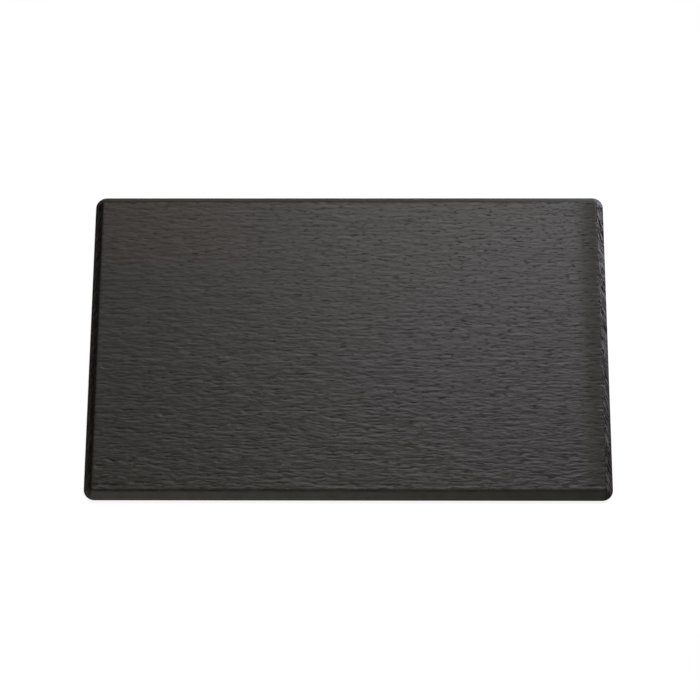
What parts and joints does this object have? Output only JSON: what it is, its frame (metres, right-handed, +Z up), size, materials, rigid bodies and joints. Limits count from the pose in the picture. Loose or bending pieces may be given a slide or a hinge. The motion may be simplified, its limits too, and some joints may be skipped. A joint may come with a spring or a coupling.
{
  "type": "melamine serving tray",
  "caption": "Flat rectangular slate-look melamine serving tray with a sloping edge, a hollow underside and anti-slip rubber feet, for buffets and counters.",
  "frame": {"origin": "centre of the tray's outline, on the table that the feet stand on", "axes": "+X along the tray's length to the viewer's right, +Y across its width to the back, +Z up"},
  "size_m": [0.53, 0.325, 0.0127],
  "materials": {
    "slate_melamine": "satin, with a shallow slate texture",
    "foot_rubber": "matte"
  },
  "bodies": {
    "root": {"tray_body": "slate_melamine", "front_left_foot": "foot_rubber", "front_right_foot": "foot_rubber", "rear_left_foot": "foot_rubber", "rear_right_foot": "foot_rubber"}
  },
  "joints": []
}
